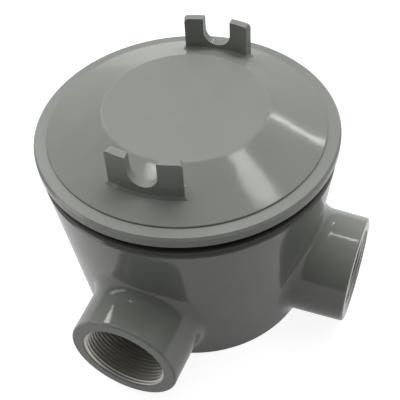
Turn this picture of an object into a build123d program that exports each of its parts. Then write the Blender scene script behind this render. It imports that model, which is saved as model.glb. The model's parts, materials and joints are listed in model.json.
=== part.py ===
from build123d import *
import os
from math import atan, cos, radians, tan

os.makedirs("parts", exist_ok=True)

# Sizes are in millimetres and degrees. The origin is the centre of the flat base and +Z is up.
# The front hub points along -Y and the side hub along +X.

# A cutting shape runs this far past what it cuts, and sizes this near each other count as the same
overrun = 1.0
near = 0.01

# Housing: a cast cup that narrows towards its base
housing_height = 70.2
wall_draft = 5.5
wall = 5.5
neck_wall = 5.9
floor_thickness = 6.0
floor_bevel = 3.0
base_edge = 1.2
rim_edge = 0.8

# Conduit hubs: the thread is M32 x 1.5, bored here to its major radius
hub_angles = {"front": -90.0, "side": 0.0}
hub_axis_height = 23.0
hub_length = 18.3
hub_mouth_radius = 21.0
hub_draft = 1.5
hub_root_fillet = 5.5
hub_lip_round = 1.0
hub_thread_radius = 16.0
hub_thread_length = 18.0
hub_chamfer = 0.5
hub_stop_radius = 13.5

# Cover thread: plain faces stand in for it at the pitch radius
cover_thread_radius = 49.35
cover_thread_pitch = 2.0
cover_thread_turns = 6.0
cover_thread_clearance = 0.08
cover_thread_runout = 2.0
cover_thread_chamfer = 1.0

# Cover: a threaded disc with a shallow cone, a flat crown and two notched lugs
flange_overhang = 0.75
flange_thickness = 4.5
flange_bevel = 0.8
shoulder_width = 3.15
shoulder_height = 2.8
step_inset = 4.9
step_height = 0.6
step_round = 0.4
crown_radius = 29.8
crown_height = 8.8
crown_round = 1.0
cover_wall = 6.0
spigot_wall = 4.5

# Lugs that a bar is laid between to turn the cover
lug_count = 2
lug_radius = 41.7
lug_thickness = 3.0
lug_draft = 1.0
lug_half_angle = 18.6
lug_top_height = 18.7
lug_corner = 1.5
lug_root_bevel = 0.9
notch_width = 10.6
notch_depth = 10.9
cover_rest_turn = 4.0

# Cover seal, a flat rubber ring with a bevelled rim
seal_thickness = 2.5
seal_inset = 0.3
seal_clearance = 0.6
seal_rim_bevel = 0.5

# Lock screw: a socket set screw through the housing's neck
lock_angle = 180.0
lock_screw_radius = 2.0
lock_screw_length = 5.0
lock_screw_bevel = 0.4
lock_tip_gap = 0.2
lock_socket_flats = 2.0
lock_socket_depth = 2.2
lock_spot_radius = 4.0
lock_spot_depth = 0.4

# Screws turn in their holes with this radial clearance
screw_clearance = 0.05
plate_clearance = 0.2

# Terminal base: a moulded barrier strip on two cast stand-offs
poles = 3
pole_pitch = 13.0
barrier_thickness = 2.2
barrier_height = 15.0
deck_height = 8.0
base_depth = 26.0
ear_length = 10.0
ear_thickness = 5.0
ear_depth = 14.0
ear_round = 3.0
pocket_depth = 0.8
pocket_clearance = 0.15
shank_well_depth = 5.5
shank_well_radius = 2.8
terminal_turn = 45.0
terminal_setback = 6.0
standoff_height = 5.0
standoff_radius = 5.0
fixing_screw_radius = 2.0
fixing_screw_length = 11.0
fixing_head_radius = 3.5
fixing_head_height = 2.8
fixing_washer_radius = 4.5
fixing_washer_thickness = 0.8
fixing_hole_depth = 8.0
head_bevel = 0.5
shank_bevel = 0.5

# Terminal bars, clamp plates and screws
bar_width = 8.4
bar_length = 22.0
bar_thickness = 2.4
bar_corner = 0.6
terminal_screw_radius = 2.0
terminal_screw_length = 8.5
terminal_head_radius = 3.6
terminal_head_height = 2.6
terminal_screw_spacing = 12.4
clamp_thickness = 1.2
clamp_lip = 0.9
clamp_corner = 0.4
slot_width = 1.1
slot_depth = 1.2
slot_step_turn = 35.0

# Earth terminals: one on a boss of the floor, one on a boss of the outside wall
earth_screw_radius = 2.5
earth_thread_length = 6.0
earth_head_flats = 8.0
earth_head_height = 3.6
earth_head_crown = 0.2
earth_washer_radius = 4.4
earth_washer_thickness = 1.2
earth_washer_gap = 1.0
earth_clamp_thickness = 1.5
earth_clamp_lip = 1.0
earth_hole_spare = 0.5
inner_earth_angle = -45.0
inner_earth_inset = 11.1
inner_earth_boss_radius = 7.5
inner_earth_boss_height = 6.0
outer_earth_angle = 90.0
outer_earth_height = 17.0
outer_earth_boss_radius = 8.5
outer_earth_boss_reach = 4.0


# Levels and radii that follow from the sizes above
def outer_radius(z):
    """Radius of the housing's outside at a height, one neck wall outside the cover's thread at the rim."""
    return cover_thread_radius + neck_wall - (housing_height - z) * tan(radians(wall_draft))


def inner_radius(z):
    """Radius of the housing's inside at a height, one wall in from the outside."""
    return outer_radius(z) - wall / cos(radians(wall_draft))


hub_reach = outer_radius(hub_axis_height) + hub_length
flange_radius = outer_radius(housing_height) + flange_overhang
shoulder_radius = cover_thread_radius + shoulder_width
step_radius = flange_radius - step_inset
seal_top = housing_height + seal_thickness
flange_bottom = seal_top + shoulder_height
flange_top = flange_bottom + flange_thickness
crown_top = flange_top + crown_height
thread_length = cover_thread_turns * cover_thread_pitch
spigot_end = housing_height - thread_length
bore_end = spigot_end - cover_thread_runout
spigot_radius = cover_thread_radius - cover_thread_clearance
cone_slope = (crown_height - step_height) / (step_radius - crown_radius)


def cone_height(radius):
    """Height of the cover's conical top at a radius."""
    return flange_top + step_height + (step_radius - radius) * cone_slope


def turned(points, arc=360):
    """Solid of revolution about Z from a closed outline of (radius, height) points."""
    outline = make_face(Polyline(*[(radius, 0, height) for radius, height in points], close=True))
    return revolve(outline, Axis.Z, revolution_arc=arc)


def along_x(radius, start, end, end_radius=None):
    """Round bar or cone along X, from one distance to another."""
    far = radius if end_radius is None else end_radius
    shape = Cylinder(radius, end - start) if far == radius else Cone(radius, far, end - start)
    return Pos((start + end) / 2, 0, 0) * Rot(0, 90, 0) * shape


def upright(radius, bottom, top):
    """Upright round bar between two heights."""
    return Pos(0, 0, (bottom + top) / 2) * Cylinder(radius, top - bottom)


def block(length, width, bottom, top):
    """Upright rectangular block between two heights, centred on Z."""
    return Pos(0, 0, (bottom + top) / 2) * Box(length, width, top - bottom)


# Places of the pieces on the housing
terminal_place = (
    Pos(0, 0, floor_thickness + standoff_height)
    * Rot(0, 0, terminal_turn)
    * Pos(0, terminal_setback, 0)
)
strip_length = poles * pole_pitch + barrier_thickness
ear_offset = (strip_length + ear_length) / 2
inner_earth_height = floor_thickness + inner_earth_boss_height
inner_earth_distance = inner_radius(inner_earth_height) - inner_earth_inset
inner_earth_place = Rot(0, 0, inner_earth_angle) * Pos(inner_earth_distance, 0, inner_earth_height)
outer_earth_face = outer_radius(outer_earth_height) + outer_earth_boss_reach
outer_earth_place = (
    Rot(0, 0, outer_earth_angle) * Pos(outer_earth_face, 0, outer_earth_height) * Rot(0, 90, 0)
)
lock_height = (housing_height + spigot_end) / 2
lock_place = Rot(0, 0, lock_angle) * Pos(0, 0, lock_height)


def hub_blank():
    """Outside of one hub along +X, tapered towards its mouth and rounded at its lip."""
    start = inner_radius(0) / 2
    root_radius = hub_mouth_radius + (hub_reach - start) * tan(radians(hub_draft))
    blank = along_x(root_radius, start, hub_reach, hub_mouth_radius)
    blank = fillet(blank.faces().sort_by(Axis.X)[-1].edges(), hub_lip_round)
    return Pos(0, 0, hub_axis_height) * blank


def hub_bore():
    """Threaded bore, its mouth chamfer and the smaller hole past the conduit stop, along +X."""
    stop = hub_reach - hub_thread_length
    bore = along_x(hub_thread_radius, stop, hub_reach)
    mouth = along_x(hub_thread_radius, hub_reach - hub_chamfer, hub_reach, hub_thread_radius + hub_chamfer)
    passage = along_x(hub_stop_radius, inner_radius(0) / 2, stop)
    return Pos(0, 0, hub_axis_height) * (bore + mouth + passage)


def earth_hole():
    """Blind hole for an earth screw, down from its seat."""
    return upright(earth_screw_radius + screw_clearance, -earth_thread_length - earth_hole_spare, 0)


def make_housing():
    """Cast cup with two hubs, stand-offs and earth bosses, then its machined bores."""
    skirt = 3 * base_edge + hub_root_fillet
    shell = turned([
        (0, -skirt),
        (outer_radius(-skirt), -skirt),
        (outer_radius(housing_height), housing_height),
        (0, housing_height),
    ])
    hubs = [Rot(0, 0, angle) * hub_blank() for angle in hub_angles.values()]
    body = shell + hubs
    body = fillet(new_edges(shell, *hubs, combined=body), hub_root_fillet)
    boss = outer_earth_place * upright(outer_earth_boss_radius, -wall - outer_earth_boss_reach, 0)
    body += boss
    body -= Pos(0, 0, -skirt) * Box(4 * hub_reach, 4 * hub_reach, 2 * skirt)
    body = chamfer(body.faces().sort_by(Axis.Z)[0].edges(), base_edge)
    body = chamfer(body.faces().sort_by(Axis.Z)[-1].edges(), rim_edge)

    cavity = turned([
        (0, floor_thickness),
        (inner_radius(floor_thickness), floor_thickness),
        (inner_radius(bore_end), bore_end),
        (0, bore_end),
    ])
    cavity = chamfer(cavity.edges().sort_by(Axis.Z)[0], floor_bevel)
    body -= cavity
    body -= upright(cover_thread_radius, bore_end, housing_height)
    body -= turned([
        (0, housing_height - cover_thread_chamfer),
        (cover_thread_radius, housing_height - cover_thread_chamfer),
        (cover_thread_radius + cover_thread_chamfer, housing_height),
        (0, housing_height),
    ])
    for angle in hub_angles.values():
        body -= Rot(0, 0, angle) * hub_bore()

    for side in (-1, 1):
        place = terminal_place * Pos(side * ear_offset, 0, 0)
        body += place * upright(standoff_radius, -standoff_height - floor_thickness / 2, 0)
        body -= place * upright(fixing_screw_radius + screw_clearance, -fixing_hole_depth, 0)
    body += inner_earth_place * upright(
        inner_earth_boss_radius, -inner_earth_boss_height - floor_thickness / 2, 0
    )
    body -= inner_earth_place * earth_hole()
    body -= outer_earth_place * earth_hole()

    spot = outer_radius(lock_height) - lock_spot_depth
    hole_radius = lock_screw_radius + screw_clearance
    body -= lock_place * along_x(hole_radius, cover_thread_radius - wall, flange_radius)
    body -= lock_place * along_x(lock_spot_radius, spot, flange_radius + wall)
    return body


def rings(shape, radius):
    """Circular edges of a shape that have a radius."""
    circles = shape.edges().filter_by(GeomType.CIRCLE)
    return circles.filter_by(lambda edge: abs(edge.radius - radius) < near)


def make_lug():
    """One lug on the +X side: a drafted arc with a round-bottomed notch cut from its top."""
    top = flange_top + lug_top_height
    bottom = cone_height(lug_radius) - cover_wall / 2
    spread = (top - bottom) * tan(radians(lug_draft))
    lug = turned([
        (lug_radius - lug_thickness - spread, bottom),
        (lug_radius + spread, bottom),
        (lug_radius, top),
        (lug_radius - lug_thickness, top),
    ], arc=2 * lug_half_angle)
    lug = Rot(0, 0, -lug_half_angle) * lug
    corners = lug.edges().filter_by_position(Axis.Z, top - near, top + near)
    lug = fillet(corners.sort_by(SortBy.LENGTH)[:2], lug_corner)
    round_height = top - notch_depth + notch_width / 2
    lug -= Pos(0, 0, round_height) * along_x(notch_width / 2, lug_radius / 2, 2 * lug_radius)
    lug -= Pos(lug_radius, 0, 0) * block(lug_radius, notch_width, round_height, top + overrun)
    return lug


def make_cover():
    """Cover casting: flange, sealing shoulder, threaded spigot, cone, crown and lugs."""
    inner_offset = cover_wall / cos(atan(cone_slope))
    spigot_inner = spigot_radius - spigot_wall
    crown_inner = step_radius - (crown_height - step_height + inner_offset - cover_wall) / cone_slope
    disc = turned([
        (0, crown_top),
        (crown_radius, crown_top),
        (step_radius, flange_top + step_height),
        (step_radius, flange_top),
        (flange_radius, flange_top),
        (flange_radius, flange_bottom),
        (shoulder_radius, flange_bottom),
        (shoulder_radius, seal_top),
        (spigot_radius, seal_top),
        (spigot_radius, spigot_end),
        (spigot_inner, spigot_end),
        (spigot_inner, cone_height(spigot_inner) - inner_offset),
        (crown_inner, crown_top - cover_wall),
        (0, crown_top - cover_wall),
    ])
    disc = chamfer(rings(disc, flange_radius), flange_bevel)
    disc = fillet(rings(disc, step_radius).sort_by(Axis.Z)[-1], step_round)
    disc = fillet(rings(disc, crown_radius), crown_round)
    lugs = [Rot(0, 0, 360 * i / lug_count) * make_lug() for i in range(lug_count)]
    cover = disc + lugs
    cover = chamfer(new_edges(disc, *lugs, combined=cover), lug_root_bevel)
    return Rot(0, 0, cover_rest_turn - 90) * cover


def make_seal():
    """Flat rubber ring between the housing's rim and the cover's shoulder."""
    inner = cover_thread_radius + seal_clearance
    outer = outer_radius(housing_height) - seal_inset
    seal = turned([
        (inner, housing_height),
        (outer, housing_height),
        (outer, seal_top),
        (inner, seal_top),
    ])
    return chamfer(rings(seal, outer), seal_rim_bevel)


def make_lock_screw():
    """Socket set screw, its tip just off the cover's thread."""
    tip = cover_thread_radius + lock_tip_gap
    tail = tip + lock_screw_length
    screw = along_x(lock_screw_radius, tip, tail)
    screw = chamfer(rings(screw, lock_screw_radius), lock_screw_bevel)
    socket = extrude(RegularPolygon(lock_socket_flats / 2, 6, major_radius=False), lock_socket_depth)
    screw -= Pos(tail, 0, 0) * Rot(0, -90, 0) * socket
    return lock_place * screw


def pole_offset(index):
    """Distance of one pole's centre along the terminal strip."""
    return (index - (poles - 1) / 2) * pole_pitch


def make_terminal_base():
    """Moulded strip: deck, barriers between the poles, pockets for the bars and two ears."""
    base = block(strip_length, base_depth, 0, deck_height)
    for i in range(poles + 1):
        place = Pos((i - poles / 2) * pole_pitch, 0, 0)
        base += place * block(barrier_thickness, base_depth, 0, barrier_height)
    ears = block(strip_length + 2 * ear_length, ear_depth, 0, ear_thickness)
    ears = fillet(ears.edges().filter_by(Axis.Z), ear_round)
    base += ears
    for side in (-1, 1):
        base -= Pos(side * ear_offset, 0, 0) * upright(
            fixing_screw_radius + plate_clearance, -overrun, ear_thickness + overrun
        )
    for i in range(poles):
        place = Pos(pole_offset(i), 0, 0)
        base -= place * block(
            bar_width + 2 * pocket_clearance,
            bar_length + 2 * pocket_clearance,
            deck_height - pocket_depth,
            deck_height + overrun,
        )
        for side in (-1, 1):
            base -= place * Pos(0, side * terminal_screw_spacing / 2, 0) * upright(
                shank_well_radius, deck_height - pocket_depth - shank_well_depth, deck_height
            )
    return terminal_place * base


bar_bottom = deck_height - pocket_depth
bar_top = bar_bottom + bar_thickness


def make_bar(index):
    """Brass bar of one pole, with a tapped hole for each of its two screws."""
    bar = block(bar_width, bar_length, bar_bottom, bar_top)
    bar = chamfer(bar.edges().filter_by(Axis.Z), bar_corner)
    for side in (-1, 1):
        bar -= Pos(0, side * terminal_screw_spacing / 2, 0) * upright(
            terminal_screw_radius + screw_clearance, bar_bottom - overrun, bar_top + overrun
        )
    return terminal_place * Pos(pole_offset(index), 0, 0) * bar


def clamp_plate(seat_radius, thickness, lip, hole_radius):
    """Square wire clamp on Z = 0, with two edges turned up beside what is seated on it."""
    width = 2 * (seat_radius + plate_clearance + thickness)
    plate = block(width, width, 0, thickness)
    for side in (-1, 1):
        plate += Pos(side * (width - thickness) / 2, 0, 0) * block(thickness, width, 0, thickness + lip)
    plate = chamfer(plate.edges().filter_by(Axis.Z), clamp_corner)
    return plate - upright(hole_radius, -overrun, thickness + overrun)


def slotted_head(head, top, span):
    """Screw head with a driver slot across its top."""
    return head - block(span, slot_width, top - slot_depth, top + overrun)


def cheese_screw(radius, length, head_radius, head_height):
    """Slotted cheese-head screw, its head seated on Z = 0 and its shank below."""
    head = upright(head_radius, 0, head_height)
    head = chamfer(head.edges().group_by(Axis.Z)[-1], head_bevel)
    shank = upright(radius, -length, 0)
    shank = chamfer(shank.edges().group_by(Axis.Z)[0], shank_bevel)
    return slotted_head(head, head_height, 3 * head_radius) + shank


def hex_screw(radius, length, flats, head_height):
    """Slotted hexagon-head screw, its head seated on Z = 0 and its shank below."""
    head = extrude(RegularPolygon(flats / 2, 6, major_radius=False), head_height)
    crown_cone = turned([
        (0, 0),
        (flats, 0),
        (flats / 2 - earth_head_crown, head_height),
        (0, head_height),
    ])
    head = slotted_head(head & crown_cone, head_height, 2 * flats)
    shank = upright(radius, -length, 0)
    shank = chamfer(shank.edges().group_by(Axis.Z)[0], shank_bevel)
    return head + shank


def split_washer(inner, outer, thickness, gap):
    """Spring washer on Z = 0, a ring cut through at one side."""
    ring = upright(outer, 0, thickness) - upright(inner, -overrun, thickness + overrun)
    cut = block(2 * (outer - inner), gap, -overrun, thickness + overrun)
    return ring - Pos((inner + outer) / 2, 0, 0) * cut


def terminal_spots():
    """Place of each terminal screw's seat on its bar, counted along the strip."""
    for i in range(poles):
        for side in (-1, 1):
            yield terminal_place * Pos(pole_offset(i), side * terminal_screw_spacing / 2, bar_top)


def make_fixings():
    """The two screws that hold the terminal base, and their washers."""
    screw = cheese_screw(fixing_screw_radius, fixing_screw_length, fixing_head_radius, fixing_head_height)
    washer = upright(fixing_washer_radius, 0, fixing_washer_thickness)
    washer -= upright(fixing_screw_radius + plate_clearance, -overrun, fixing_washer_thickness + overrun)
    spots = [terminal_place * Pos(side * ear_offset, 0, ear_thickness) for side in (-1, 1)]
    screws = [spot * Pos(0, 0, fixing_washer_thickness) * screw for spot in spots]
    washers = [spot * washer for spot in spots]
    return Compound(children=screws), Compound(children=washers)


def make_earth(place):
    """Clamp, spring washer and screw of one earth terminal, seated on its boss."""
    clamp = clamp_plate(
        earth_washer_radius, earth_clamp_thickness, earth_clamp_lip, earth_screw_radius + plate_clearance
    )
    washer = split_washer(
        earth_screw_radius + plate_clearance, earth_washer_radius, earth_washer_thickness, earth_washer_gap
    )
    stack = earth_clamp_thickness + earth_washer_thickness
    screw = hex_screw(earth_screw_radius, stack + earth_thread_length, earth_head_flats, earth_head_height)
    return {
        "clamp": place * clamp,
        "spring_washer": place * Pos(0, 0, earth_clamp_thickness) * washer,
        "screw": place * Pos(0, 0, stack) * screw,
    }


nodes = {
    "housing": make_housing(),
    "cover": make_cover(),
    "cover_seal": make_seal(),
    "cover_lock_screw": make_lock_screw(),
    "terminal_base": make_terminal_base(),
}
for i in range(poles):
    nodes[f"terminal_bar_{i + 1}"] = make_bar(i)
terminal_clamp = clamp_plate(
    terminal_head_radius, clamp_thickness, clamp_lip, terminal_screw_radius + plate_clearance
)
terminal_screw = cheese_screw(
    terminal_screw_radius, terminal_screw_length, terminal_head_radius, terminal_head_height
)
for i, spot in enumerate(terminal_spots()):
    nodes[f"terminal_clamp_{i + 1}"] = spot * terminal_clamp
    turn = Rot(0, 0, slot_step_turn * i)
    nodes[f"terminal_screw_{i + 1}"] = spot * Pos(0, 0, clamp_thickness) * turn * terminal_screw
nodes["base_fixing_screws"], nodes["base_fixing_washers"] = make_fixings()
for name, place in (("inner_earth", inner_earth_place), ("outer_earth", outer_earth_place)):
    for piece, shape in make_earth(place).items():
        nodes[f"{name}_{piece}"] = shape

for name, shape in nodes.items():
    export_step(shape, f"parts/{name}.step")
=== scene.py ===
# %% [markdown]
# # A round cast conduit box
#
# The object is a cast aluminium box for electrical wiring in places with explosive gas. A heavy
# cover screws into a round cup, and conduit screws into two hubs at a right angle. The solid
# model comes in as a fixed frame, at its real size in metres, with +Z up and the base at the
# floor. This script gives it its finishes, cuts the look of its threads and lights it.

# %% Load the frame
import bpy
import json
from math import cos, pi, radians, sin
from mathutils import Matrix, Vector


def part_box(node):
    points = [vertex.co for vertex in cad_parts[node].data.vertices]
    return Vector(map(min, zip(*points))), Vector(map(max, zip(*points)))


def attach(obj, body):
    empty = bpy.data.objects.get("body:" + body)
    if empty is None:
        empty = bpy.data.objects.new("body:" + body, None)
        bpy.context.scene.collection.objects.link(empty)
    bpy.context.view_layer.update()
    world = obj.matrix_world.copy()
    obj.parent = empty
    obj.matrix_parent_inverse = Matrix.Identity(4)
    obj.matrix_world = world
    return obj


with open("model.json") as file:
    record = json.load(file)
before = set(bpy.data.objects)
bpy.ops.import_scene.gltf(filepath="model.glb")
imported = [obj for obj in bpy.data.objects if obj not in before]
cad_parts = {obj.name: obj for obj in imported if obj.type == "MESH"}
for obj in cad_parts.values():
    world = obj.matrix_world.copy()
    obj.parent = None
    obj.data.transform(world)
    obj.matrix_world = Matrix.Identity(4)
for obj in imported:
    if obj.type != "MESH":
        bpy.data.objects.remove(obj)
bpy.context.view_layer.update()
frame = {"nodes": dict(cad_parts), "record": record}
mm = 0.001

# %% [markdown]
# ## The places that the frame gives
#
# The hubs, the cover's thread and the seal are placed by the solid model. Reading their places
# from the frame, rather than typing them again, keeps each new piece on what carries it.

# %% Read the hubs and the cover's thread
mounts = {mount["name"]: mount for mount in frame["record"]["mounts"]}
hubs = {name: mounts[name] for name in ("front_hub", "side_hub")}
hub_thread_radius = hubs["front_hub"]["dims"]["r_mm"] * mm
hub_thread_length = hubs["front_hub"]["dims"]["length_mm"] * mm
hub_height = hubs["front_hub"]["pos_m"][2]
seal_low, seal_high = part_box("cover_seal")
rim_height = seal_low[2]
neck_height = seal_high[2]
neck_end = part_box("cover")[0][2]
print("hub thread radius", hub_thread_radius / mm, "mm, rim at", round(rim_height / mm, 2), "mm")

# %% [markdown]
# ## The camera
#
# The camera stands in front of the box and to its right and looks down on the cover, so both
# hubs show. It is placed before any piece is made, because each piece is judged from here.
# A camera looks along its own -Z, so it is tipped up from straight down by what is left of its
# elevation, then turned round the upright axis. A small roll follows the tilted picture.

# %% Set the camera
camera_place = Vector((0.0887, -0.1818, 0.2536))
camera_side_turn = radians(25.2)
camera_elevation = radians(46.79)
camera_roll = radians(-4.16)
bpy.ops.object.camera_add()
camera = bpy.context.object
camera.name = "camera"
camera.data.lens = 65.22
camera.data.sensor_width = 36
turn = Matrix.Rotation(camera_side_turn, 4, "Z")
tip = Matrix.Rotation(pi / 2 - camera_elevation, 4, "X")
roll = Matrix.Rotation(camera_roll, 4, "Z")
camera.matrix_world = Matrix.Translation(camera_place) @ turn @ tip @ roll
bpy.context.scene.camera = camera
print("camera is", round(camera_place.length, 3), "m from the base's centre")

# %% [markdown]
# ## Helpers for materials
#
# Colours are easiest to choose as sRGB hex values, as a paint chart gives them, but shaders
# want linear light, so one function turns them. Another adds a node with its settings and its
# links in one call, which keeps each material short enough to read: most nodes have one output
# that matters, the first, so a node can be given where a link is wanted. A pattern's scale comes
# from the real size of what it draws: a noise of scale 1000 has one grain to the millimetre.

# %% Colour, scale and node helpers
def linear(colour):
    """Linear RGBA of an sRGB hex colour."""
    parts = [int(colour[i:i + 2], 16) / 255 for i in (1, 3, 5)]
    linear_parts = [p / 12.92 if p <= 0.04045 else ((p + 0.055) / 1.055) ** 2.4 for p in parts]
    return (*linear_parts, 1.0)


def per_mm(grain):
    """Texture scale whose grains are that many millimetres wide."""
    return 1 / (grain * mm)


def add(tree, kind, inputs=None, **settings):
    """Adds a node, each input linked to a socket or a node's first output, or set to a value."""
    made = tree.nodes.new(kind)
    for name, value in settings.items():
        setattr(made, name, value)
    for name, value in (inputs or {}).items():
        if isinstance(value, bpy.types.Node):
            value = value.outputs[0]
        if isinstance(value, bpy.types.NodeSocket):
            tree.links.new(value, made.inputs[name])
        else:
            made.inputs[name].default_value = value
    return made


def new_material(name, sockets):
    """A material with its shader's sockets set, and the piece's own coordinates."""
    material = bpy.data.materials.new(name)
    material.use_nodes = True
    shader = material.node_tree.nodes["Principled BSDF"]
    for socket, value in sockets.items():
        shader.inputs[socket].default_value = value
    place = add(material.node_tree, "ShaderNodeTexCoord").outputs["Object"]
    return material, material.node_tree, shader, place


print("mid grey", [round(value, 3) for value in linear("#808080")])

# %% [markdown]
# ## Powder-coated cast aluminium
#
# The casting is blasted, sprayed with grey polyester powder and baked. The powder melts into a
# smooth, glossy skin with a faint orange peel about 2 to 3 mm across, over the wider
# unevenness of the sand casting. The crown's top and the ring round the cone keep the sand's
# grain, which the paint doesn't fill, and look a little duller. Foundry sand is about 0.3 mm,
# too fine to show, so its grain is drawn 0.9 mm wide. The bores are machined before painting
# and stay bare, so a mask by place turns them to metal.

# %% Mask for the machined bores
hub_bore_start = 49 * mm
thread_outside = 50.2 * mm
thread_inside = 45.5 * mm
thread_runout = 2.5 * mm
mask_margin = 0.12 * mm


def near_axis(tree, place, keep, centre, radius):
    """1 inside a round bore: the distance from its axis, along the two directions kept."""
    moved = add(tree, "ShaderNodeVectorMath", {0: place, 1: centre}, operation="SUBTRACT")
    flat = add(tree, "ShaderNodeVectorMath", {0: moved, 1: keep}, operation="MULTIPLY")
    away = add(tree, "ShaderNodeVectorMath", {0: flat}, operation="LENGTH").outputs["Value"]
    return add(tree, "ShaderNodeMath", {0: away, 1: radius}, operation="LESS_THAN")


def bore_mask(tree, place, keep, outward):
    """1 on a hub's bore, from its mouth to the shoulder that stops the conduit."""
    hub_centre = (0, 0, hub_height)
    near = near_axis(tree, place, keep, hub_centre, hub_thread_radius + mask_margin)
    out = add(tree, "ShaderNodeVectorMath", {0: place, 1: outward}, operation="DOT_PRODUCT")
    past = {0: out.outputs["Value"], 1: hub_bore_start}
    past = add(tree, "ShaderNodeMath", past, operation="GREATER_THAN")
    return add(tree, "ShaderNodeMath", {0: near, 1: past}, operation="MULTIPLY")


def neck_mask(tree, place):
    """1 on the thread of the cover's neck and of the cup, a ring between two heights."""
    height = add(tree, "ShaderNodeSeparateXYZ", {"Vector": place}).outputs["Z"]
    above = {0: height, 1: neck_end - thread_runout}
    above = add(tree, "ShaderNodeMath", above, operation="GREATER_THAN")
    below = {0: height, 1: neck_height + 0.01 * mm}
    below = add(tree, "ShaderNodeMath", below, operation="LESS_THAN")
    level = add(tree, "ShaderNodeMath", {0: above, 1: below}, operation="MULTIPLY")
    within = near_axis(tree, place, (1, 1, 0), (0, 0, 0), thread_outside)
    hollow = near_axis(tree, place, (1, 1, 0), (0, 0, 0), thread_inside)
    ring = add(tree, "ShaderNodeMath", {0: within, 1: hollow}, operation="SUBTRACT")
    return add(tree, "ShaderNodeMath", {0: level, 1: ring}, operation="MULTIPLY")


def machined_mask(tree, place):
    """1 on the hubs' bores and on the cover's thread, 0 on painted faces."""
    front = bore_mask(tree, place, (1, 0, 1), (0, -1, 0))
    side = bore_mask(tree, place, (0, 1, 1), (1, 0, 0))
    bores = add(tree, "ShaderNodeMath", {0: front, 1: side}, operation="MAXIMUM")
    return add(tree, "ShaderNodeMath", {0: bores, 1: neck_mask(tree, place)}, operation="MAXIMUM")


print("bores are bare past", round(hub_bore_start / mm, 1), "mm from the middle")

# %% Relief of the powder coat
crown_height = 88.8 * mm
ring_height = 80.0 * mm


def coat_relief(tree, cloud, peel, sand):
    """The cast unevenness, the orange peel and the sand's grain, each laid over the last."""
    skin = None
    for height, depth in ((cloud, 0.10 * mm), (peel, 0.012 * mm), (sand, 0.05 * mm)):
        inputs = {"Height": height, "Distance": depth, "Strength": 1.0}
        if skin is not None:
            inputs["Normal"] = skin
        skin = add(tree, "ShaderNodeBump", inputs)
    return skin


def sandy_mask(tree, place):
    """1 on the crown's top and on the ring round the cone, which keep the sand's grain."""
    height = add(tree, "ShaderNodeSeparateXYZ", {"Vector": place}).outputs["Z"]
    crown = {
        "Value": height, "From Min": crown_height - 0.6 * mm, "From Max": crown_height - 0.2 * mm
    }
    crown = add(tree, "ShaderNodeMapRange", crown)
    ring = {0: height, 1: ring_height, 2: 0.1 * mm}
    ring = add(tree, "ShaderNodeMath", ring, operation="COMPARE")
    return add(tree, "ShaderNodeMath", {0: crown, 1: ring}, operation="MAXIMUM")


print("the sand shows at", [round(level / mm, 1) for level in (ring_height, crown_height)], "mm")

# %% Grey powder coat
sand_roughness = 0.20
bare_roughness = 0.5


def powder_coat(name):
    """Grey powder coat on cast aluminium, bare on the machined bores."""
    material, tree, shader, place = new_material(name, {"IOR": 1.5})
    cloud = {"Vector": place, "Scale": per_mm(14), "Detail": 2.0}
    cloud = add(tree, "ShaderNodeTexNoise", cloud)
    peel = {"Vector": place, "Scale": per_mm(2.6), "Detail": 1.0}
    peel = add(tree, "ShaderNodeTexNoise", peel)
    grain = {"Vector": place, "Scale": per_mm(0.9), "Detail": 3.0}
    grain = add(tree, "ShaderNodeTexNoise", grain)
    sandy = sandy_mask(tree, place)
    sand = add(tree, "ShaderNodeMath", {0: grain, 1: sandy}, operation="MULTIPLY")
    tone = {"Factor": cloud, 6: linear("#8E918A"), 7: linear("#969993")}
    tone = add(tree, "ShaderNodeMix", tone, data_type="RGBA").outputs[2]
    gloss = add(tree, "ShaderNodeMapRange", {"Value": peel, "To Min": 0.09, "To Max": 0.15})
    rough = {0: sandy, 1: sand_roughness, 2: gloss}
    rough = add(tree, "ShaderNodeMath", rough, operation="MULTIPLY_ADD")
    bare = machined_mask(tree, place)
    colour = {"Factor": bare, 6: tone, 7: linear("#CFCDC6")}
    colour = add(tree, "ShaderNodeMix", colour, data_type="RGBA").outputs[2]
    finish = add(tree, "ShaderNodeMix", {"Factor": bare, 2: rough, 3: bare_roughness})
    skin = coat_relief(tree, cloud, peel, sand)
    tree.links.new(skin.outputs[0], shader.inputs["Normal"])
    tree.links.new(colour, shader.inputs["Base Color"])
    tree.links.new(finish.outputs[0], shader.inputs["Roughness"])
    tree.links.new(bare.outputs[0], shader.inputs["Metallic"])
    return material


grey_coat = powder_coat("powder_coated_cast_aluminium")
print("made", grey_coat.name, "with", len(grey_coat.node_tree.nodes), "nodes")

# %% [markdown]
# ## Bare metals
#
# The threads are cut aluminium, bright but greased. The terminals' bars and clamps are brass,
# the screws are zinc-plated steel with a faint cloudy blue, and the lock screw is black-oxide
# steel. All four are made alike: a cloud drifts their colour and gloss a little, and tool marks
# break up the mirror. Real turning marks are finer than a tenth of a millimetre, too fine to
# show in a picture of the whole box, so they are drawn 0.3 to 0.4 mm wide.

# %% Bare metals
def finish_with(tree, shader, cloud, colours, rough, marks, depth):
    """Lets colour and gloss drift with a cloud, and gives the surface its fine marks."""
    tone = {"Factor": cloud, 6: linear(colours[0]), 7: linear(colours[1])}
    tone = add(tree, "ShaderNodeMix", tone, data_type="RGBA")
    gloss = {"Value": cloud, "To Min": rough[0], "To Max": rough[1]}
    gloss = add(tree, "ShaderNodeMapRange", gloss)
    skin = add(tree, "ShaderNodeBump", {"Height": marks, "Distance": depth, "Strength": 1.0})
    tree.links.new(tone.outputs[2], shader.inputs["Base Color"])
    tree.links.new(gloss.outputs[0], shader.inputs["Roughness"])
    tree.links.new(skin.outputs[0], shader.inputs["Normal"])


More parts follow.
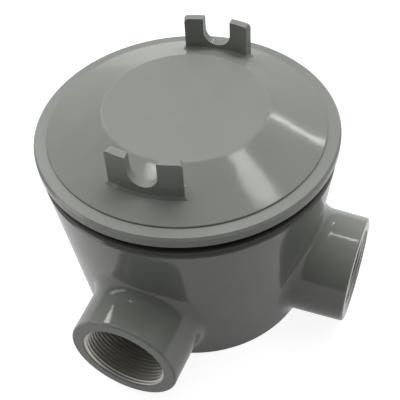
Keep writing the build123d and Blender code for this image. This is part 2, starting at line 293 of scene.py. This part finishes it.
def metal(name, colours, rough, cloud_size, mark_size, mark_depth):
    """A bare metal: clouded colour, uneven gloss and fine tool marks."""
    material, tree, shader, place = new_material(name, {"Metallic": 1.0})
    cloud = {"Vector": place, "Scale": per_mm(cloud_size), "Detail": 3.0}
    cloud = add(tree, "ShaderNodeTexNoise", cloud)
    marks = {"Vector": place, "Scale": per_mm(mark_size), "Detail": 2.0}
    marks = add(tree, "ShaderNodeTexNoise", marks)
    finish_with(tree, shader, cloud, colours, rough, marks, mark_depth)
    return material


cut_aluminium = metal(
    "machined_aluminium", ("#D0CEC7", "#DFDDD7"), rough=(0.42, 0.56),
    cloud_size=5, mark_size=0.4, mark_depth=0.006 * mm,
)
brass = metal(
    "brass", ("#B5904E", "#CFAE6A"), rough=(0.24, 0.38),
    cloud_size=4, mark_size=0.3, mark_depth=0.006 * mm,
)
zinc_steel = metal(
    "zinc_plated_steel", ("#B7BAC0", "#CFD0D0"), rough=(0.22, 0.36),
    cloud_size=2, mark_size=0.3, mark_depth=0.005 * mm,
)
black_steel = metal(
    "black_oxide_steel", ("#2B2B2E", "#3A3A3D"), rough=(0.38, 0.50),
    cloud_size=2, mark_size=0.3, mark_depth=0.005 * mm,
)
print("metals", [m.name for m in (cut_aluminium, brass, zinc_steel, black_steel)])

# %% [markdown]
# ## Rubber and moulding
#
# The seal is moulded nitrile rubber, nearly black and dull. The terminal strip is moulded from
# glass-filled polyester, whose fine grain comes from the mould. That grain is about 0.1 mm, too
# fine to show, so it is drawn 0.35 to 0.5 mm wide. Both are mottled very slightly, because a
# black that is even all over looks like a hole.

# %% Rubber and moulding
def dull(name, colours, rough, grain_size, grain_depth):
    """A dull moulded surface: slight mottling and a fine grain."""
    material, tree, shader, place = new_material(name, {"IOR": 1.5})
    mottle = {"Vector": place, "Scale": per_mm(6), "Detail": 3.0}
    mottle = add(tree, "ShaderNodeTexNoise", mottle)
    grain = {"Vector": place, "Scale": per_mm(grain_size), "Detail": 2.0}
    grain = add(tree, "ShaderNodeTexNoise", grain)
    finish_with(tree, shader, mottle, colours, rough, grain, grain_depth)
    return material


nitrile = dull(
    "nitrile_rubber", ("#3A3B38", "#464743"), rough=(0.55, 0.70),
    grain_size=0.5, grain_depth=0.02 * mm,
)
moulding = dull(
    "glass_filled_polyester", ("#26272A", "#303134"), rough=(0.40, 0.52),
    grain_size=0.35, grain_depth=0.008 * mm,
)
print("made", nitrile.name, "and", moulding.name)

# %% [markdown]
# ## Dress the solids
#
# Each solid that comes from the frame keeps its shape and only changes its material. The record
# already says which finish each one has, so a small table from finish to material is enough.

# %% Give each solid its material
finishes = {
    "grey_casting": grey_coat,
    "nitrile_rubber": nitrile,
    "black_steel": black_steel,
    "terminal_moulding": moulding,
    "brass": brass,
    "zinc_steel": zinc_steel,
}
for subpart in frame["record"]["subparts"]:
    solid = frame["nodes"][subpart["node"]]
    if not solid.material_slots:
        solid.data.materials.append(None)
    for slot in solid.material_slots:
        slot.material = finishes[subpart["material_slot"]]

# %% [markdown]
# ## Threads
#
# The solid model bores each thread plain. A real thread is one ridge wound round the bore, so
# here it is one small flat profile, wound by a Screw modifier: its pitch is the rise of each
# turn. The ends of the ridge are closed, and a cone cuts the mouth's chamfer through it, as the
# countersink does. The conduit thread is metric, M32 with a pitch of 1.5 mm.

# %% Draw a ridge's profile
corner_margin = 0.01 * mm


def deselect_all():
    """Leaves nothing selected, because operators act on all that is."""
    bpy.ops.object.select_all(action="DESELECT")


def ridge_profile(name, root_radius, crest_radius, root_width, crest_width):
    """The outline of a thread's ridge, upright beside Z, its crest narrower than its root."""
    deselect_all()
    bpy.ops.mesh.primitive_plane_add(size=1, location=(0, 0, 0))
    profile = bpy.context.object
    profile.name = name
    middle = ((root_radius + crest_radius) / 2, 0, 0)
    bpy.ops.object.mode_set(mode="EDIT")
    bpy.ops.transform.rotate(value=pi / 2, orient_axis="X", center_override=(0, 0, 0))
    bpy.ops.transform.translate(value=middle)
    bpy.ops.transform.resize(
        value=(abs(root_radius - crest_radius), 1, root_width), center_override=middle
    )
    bpy.ops.mesh.select_all(action="DESELECT")
    bpy.ops.object.mode_set(mode="OBJECT")
    for corner in profile.data.vertices:
        corner.select = abs(corner.co.x - crest_radius) < corner_margin
    bpy.ops.object.mode_set(mode="EDIT")
    bpy.ops.mesh.select_mode(type="VERT")
    bpy.ops.transform.resize(
        value=(1, 1, crest_width / root_width), center_override=(crest_radius, 0, 0)
    )
    bpy.ops.mesh.select_all(action="SELECT")
    bpy.ops.mesh.delete(type="ONLY_FACE")
    bpy.ops.object.mode_set(mode="OBJECT")
    return profile


print("a crest's corners are found within", round(corner_margin / mm, 3), "mm of its radius")

# %% Wind it and close its ends
hub_steps = 48
cover_steps = 96


def wind(ridge, pitch, turns, steps):
    """Winds a profile about Z into a right-handed ridge, its first turn centred on Z = 0."""
    bpy.ops.object.modifier_add(type="SCREW")
    winding = ridge.modifiers[-1]
    winding.axis = "Z"
    winding.screw_offset = pitch
    winding.iterations = turns
    winding.steps = steps
    winding.render_steps = steps
    winding.use_merge_vertices = False
    bpy.ops.object.modifier_apply(modifier=winding.name)


def close_ends(ridge):
    """Fills the two open ends of a wound ridge and turns its faces outwards."""
    bpy.ops.object.mode_set(mode="EDIT")
    bpy.ops.mesh.select_all(action="DESELECT")
    bpy.ops.mesh.select_mode(type="EDGE")
    bpy.ops.mesh.select_non_manifold(extend=False, use_wire=False, use_boundary=True)
    bpy.ops.mesh.edge_face_add()
    bpy.ops.mesh.select_all(action="SELECT")
    bpy.ops.mesh.normals_make_consistent(inside=False)
    bpy.ops.mesh.select_all(action="DESELECT")
    bpy.ops.object.mode_set(mode="OBJECT")


print("faces in each turn:", 4 * hub_steps, "in a hub,", 4 * cover_steps, "on the cover")

# %% Place it and look for holes
def put(piece, matrix):
    """Moves a piece's own mesh to its place and leaves its object at the origin."""
    piece.data.transform(matrix)
    piece.data.update()


def open_edges(piece):
    """How many edges of a piece don't have a face on each side."""
    uses = {}
    for face in piece.data.polygons:
        for key in face.edge_keys:
            uses[key] = uses.get(key, 0) + 1
    return sum(1 for count in uses.values() if count != 2)


seal = frame["nodes"]["cover_seal"]
print("a solid comes as loose triangles, so the seal has", open_edges(seal), "open edges")

# %% [markdown]
# ### The hubs' conduit threads
#
# The thread's ridge stands from the bore inwards. It starts one turn deep in the shoulder that
# stops the conduit, so no loose end shows, and the countersink's cone cuts it at the mouth.

# %% Cut the two conduit threads
conduit_pitch = 1.5 * mm
conduit_depth = 0.812 * mm
conduit_root = conduit_pitch * 7 / 8
conduit_crest = conduit_pitch / 4
hidden = 0.05 * mm
chamfer = 0.5 * mm


def countersink(base, reach, mouth):
    """A cone for cutting the mouth's chamfer, along Z, its wide end past the mouth."""
    deselect_all()
    bpy.ops.mesh.primitive_cone_add(
        vertices=96,
        radius1=mouth - base,
        radius2=mouth + reach,
        depth=base + reach,
        location=(0, 0, (reach - base) / 2),
    )
    return bpy.context.object


def cut_with(piece, cutter):
    """Cuts a piece with another one and takes the cutter away."""
    deselect_all()
    bpy.context.view_layer.objects.active = piece
    piece.select_set(True)
    bpy.ops.object.modifier_add(type="BOOLEAN")
    cut = piece.modifiers[-1]
    cut.operation = "DIFFERENCE"
    cut.object = cutter
    cut.solver = "EXACT"
    bpy.ops.object.modifier_apply(modifier=cut.name)
    bpy.data.objects.remove(cutter)


# Three turns more than fit: one starts in the shoulder, and two reach past the chamfer
conduit_turns = int(hub_thread_length / conduit_pitch) + 3
conduit_ridge = ridge_profile(
    "conduit_thread", hub_thread_radius + hidden, hub_thread_radius - conduit_depth,
    conduit_root, conduit_crest,
)
wind(conduit_ridge, conduit_pitch, conduit_turns, hub_steps)
close_ends(conduit_ridge)
mouth_height = hub_thread_length + chamfer
put(conduit_ridge, Matrix.Translation((0, 0, -conduit_pitch - mouth_height)))
cutter = countersink(base=5 * mm, reach=8 * mm, mouth=hub_thread_radius + chamfer)
cut_with(conduit_ridge, cutter)
print("conduit ridge", len(conduit_ridge.data.polygons), "faces")
print("open edges", open_edges(conduit_ridge))

# %% Place a copy in each hub
def copy_of(piece, name):
    """A copy of a piece with its own mesh."""
    twin = piece.copy()
    twin.data = piece.data.copy()
    twin.name = name
    bpy.context.collection.objects.link(twin)
    return twin


def dress(piece, material, body):
    """Gives a piece its material and smooth shading, and lets it ride on its body."""
    piece.data.materials.clear()
    piece.data.materials.append(material)
    deselect_all()
    bpy.context.view_layer.objects.active = piece
    piece.select_set(True)
    bpy.ops.object.shade_smooth_by_angle(angle=radians(30))
    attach(piece, body)


for name, hub in hubs.items():
    axis = Vector(hub["axis"])
    mouth = Vector(hub["pos_m"]) + axis * (hub_thread_length / 2 + chamfer)
    outward = axis.to_track_quat("Z", "Y").to_matrix().to_4x4()
    place = Matrix.Translation(mouth) @ outward
    thread = copy_of(conduit_ridge, name + "_thread")
    put(thread, place)
    dress(thread, cut_aluminium, "housing")
    print(thread.name, "mouth at", [round(value / mm, 1) for value in mouth])
bpy.data.objects.remove(conduit_ridge)

# %% [markdown]
# ### The cover's thread
#
# The flameproof joint of such a box is this long fine thread, of 2 mm pitch here. The male
# ridge is on the cover's neck and the female one in the cup, half a turn's rise apart, so each
# fills the other's groove when the cover is down. Each ridge is rooted a hair inside the plain
# face of its solid, which leaves no gap under it.

# %% Cut the cover's male and female thread
cover_pitch = 2 * mm
pitch_radius = 49.35 * mm
male_root = pitch_radius - 0.12 * mm
male_crest = 49.95 * mm
female_crest = 48.95 * mm
root_width = cover_pitch * 0.56
cover_turns = int((rim_height - neck_end) / cover_pitch) - 1
male = ridge_profile("cover_thread_male", male_root, male_crest, root_width, cover_pitch / 8)
wind(male, cover_pitch, cover_turns, cover_steps)
close_ends(male)
put(male, Matrix.Translation((0, 0, neck_end + cover_pitch / 2)))
dress(male, cut_aluminium, "cover")
female = ridge_profile(
    "cover_thread_female", pitch_radius + hidden, female_crest, root_width, cover_pitch / 5
)
wind(female, cover_pitch, cover_turns, cover_steps)
close_ends(female)
put(female, Matrix.Translation((0, 0, neck_end + cover_pitch)))
dress(female, cut_aluminium, "housing")
print("cover thread turns", cover_turns, "open edges", open_edges(male), open_edges(female))

# %% [markdown]
# ## Floor and light
#
# The box stands on a white table that clips to white, as in a catalogue picture. Two lamps
# stand behind it and to the right, wide but thin: the glossy cone of the cover stretches each
# into a streak that points at its middle, so a lamp's width sets how wide the streak is. Small
# lamps on the left draw the glints on the hubs, and a long low window lights the left wall.
#
# The room gives the rest. Paint shows two things at once, the light that falls on it and the
# picture that its gloss mirrors, and a photographer's cards and walls set them apart. So the
# room has one light for each kind of ray: a high one from behind that shades the shape, and a
# dimmer one near the horizon that only the gloss sees. The table lies a hair below the box,
# because two faces in one plane flicker.

# %% Lay the floor
table_grey = 0.38
seen_glow = 0.9
mirrored_glow = 0.5
bpy.ops.mesh.primitive_plane_add(size=6, location=(0, 0, -0.05 * mm))
floor = bpy.context.object
floor.name = "floor"
table = bpy.data.materials.new("white_table")
table.use_nodes = True
tree = table.node_tree
table_shader = tree.nodes["Principled BSDF"]
table_shader.inputs["Base Color"].default_value = (table_grey, table_grey, table_grey, 1)
table_shader.inputs["Roughness"].default_value = 0.9
table_shader.inputs["Specular IOR Level"].default_value = 0.0
seen = add(tree, "ShaderNodeLightPath").outputs
straight = {0: seen["Is Camera Ray"], 1: seen["Is Transmission Ray"]}
straight = add(tree, "ShaderNodeMath", straight, operation="MAXIMUM")
straight = add(tree, "ShaderNodeMath", {0: straight, 1: seen_glow}, operation="MULTIPLY")
mirrored = {0: seen["Is Glossy Ray"], 1: mirrored_glow}
mirrored = add(tree, "ShaderNodeMath", mirrored, operation="MULTIPLY")
glow = add(tree, "ShaderNodeMath", {0: straight, 1: mirrored}, operation="MAXIMUM")
table_shader.inputs["Emission Color"].default_value = (1, 1, 1, 1)
tree.links.new(glow.outputs[0], table_shader.inputs["Emission Strength"])
floor.data.materials.append(table)
print("floor at", round(floor.location.z / mm, 3), "mm")

# %% Directions round the box
def direction(azimuth, elevation):
    """The way out of the box, an azimuth of 0 being the front."""
    azimuth, elevation = radians(azimuth), radians(elevation)
    return Vector((sin(azimuth) * cos(elevation), -cos(azimuth) * cos(elevation), sin(elevation)))


def glow_from(tree, way_out, azimuth, elevation, dark_at, dark, bright):
    """Light of the room by direction: brightest at one and fading to the dark away from it."""
    near = {0: way_out, 1: direction(azimuth, elevation)}
    near = add(tree, "ShaderNodeVectorMath", near, operation="DOT_PRODUCT").outputs["Value"]
    fade = {"Value": near, "From Min": dark_at, "To Min": dark, "To Max": bright}
    return add(tree, "ShaderNodeMapRange", fade)


print("the front is", [round(part, 1) for part in direction(0, 0)])

# %% Light the room
world = bpy.data.worlds.new("room")
bpy.context.scene.world = world
world.use_nodes = True
tree = world.node_tree
path = add(tree, "ShaderNodeLightPath").outputs
way_out = add(tree, "ShaderNodeTexCoord").outputs["Generated"]
lit = glow_from(
    tree, way_out, azimuth=-174, elevation=54, dark_at=0.38, dark=0.02, bright=1.64
)
mirrored = glow_from(
    tree, way_out, azimuth=-155, elevation=30, dark_at=-0.2, dark=0.12, bright=0.44
)
level = add(tree, "ShaderNodeMix", {"Factor": path["Is Glossy Ray"], 2: lit, 3: mirrored})
straight = {0: path["Is Camera Ray"], 1: path["Is Transmission Ray"]}
straight = add(tree, "ShaderNodeMath", straight, operation="MAXIMUM")
level = add(tree, "ShaderNodeMix", {"Factor": straight, 2: level, 3: 1.0})
background = tree.nodes["Background"]
background.inputs["Color"].default_value = (1, 1, 1, 1)
tree.links.new(level.outputs[0], background.inputs["Strength"])
print("room has", len(tree.nodes), "nodes")

# %% Hang the lamps
def lamp(name, azimuth, elevation, distance, width, length, power):
    """A soft rectangular lamp aimed at the box, placed by its direction from it."""
    way = direction(azimuth, elevation)
    bpy.ops.object.light_add(type="AREA")
    made = bpy.context.object
    made.name = name
    made.data.shape = "RECTANGLE"
    made.data.size = width
    made.data.size_y = length
    made.data.energy = power
    target = Vector((0, 0, 70 * mm))
    turned = way.to_track_quat("Z", "Y").to_matrix().to_4x4()
    made.matrix_world = Matrix.Translation(target + way * distance) @ turned


# Azimuth and elevation in degrees, distance, width and length in metres, power in watts
lamp("high_lamp", 139.5, 65, 1.2, 0.24, 0.20, 0.9)
lamp("low_lamp", 160.5, 34, 1.2, 0.24, 0.03, 0.35)
lamp("left_lamp", -123, 40, 1.2, 0.24, 0.22, 1.3)
lamp("strip_lamp", -172, 67, 1.2, 0.7, 0.08, 1.7)
lamp("top_lamp", -90, 72, 1.2, 0.12, 0.12, 0.45)
lamp("left_window", -66, 20, 1.5, 1.5, 0.3, 3.2)
bpy.context.scene.view_settings.view_transform = "Standard"
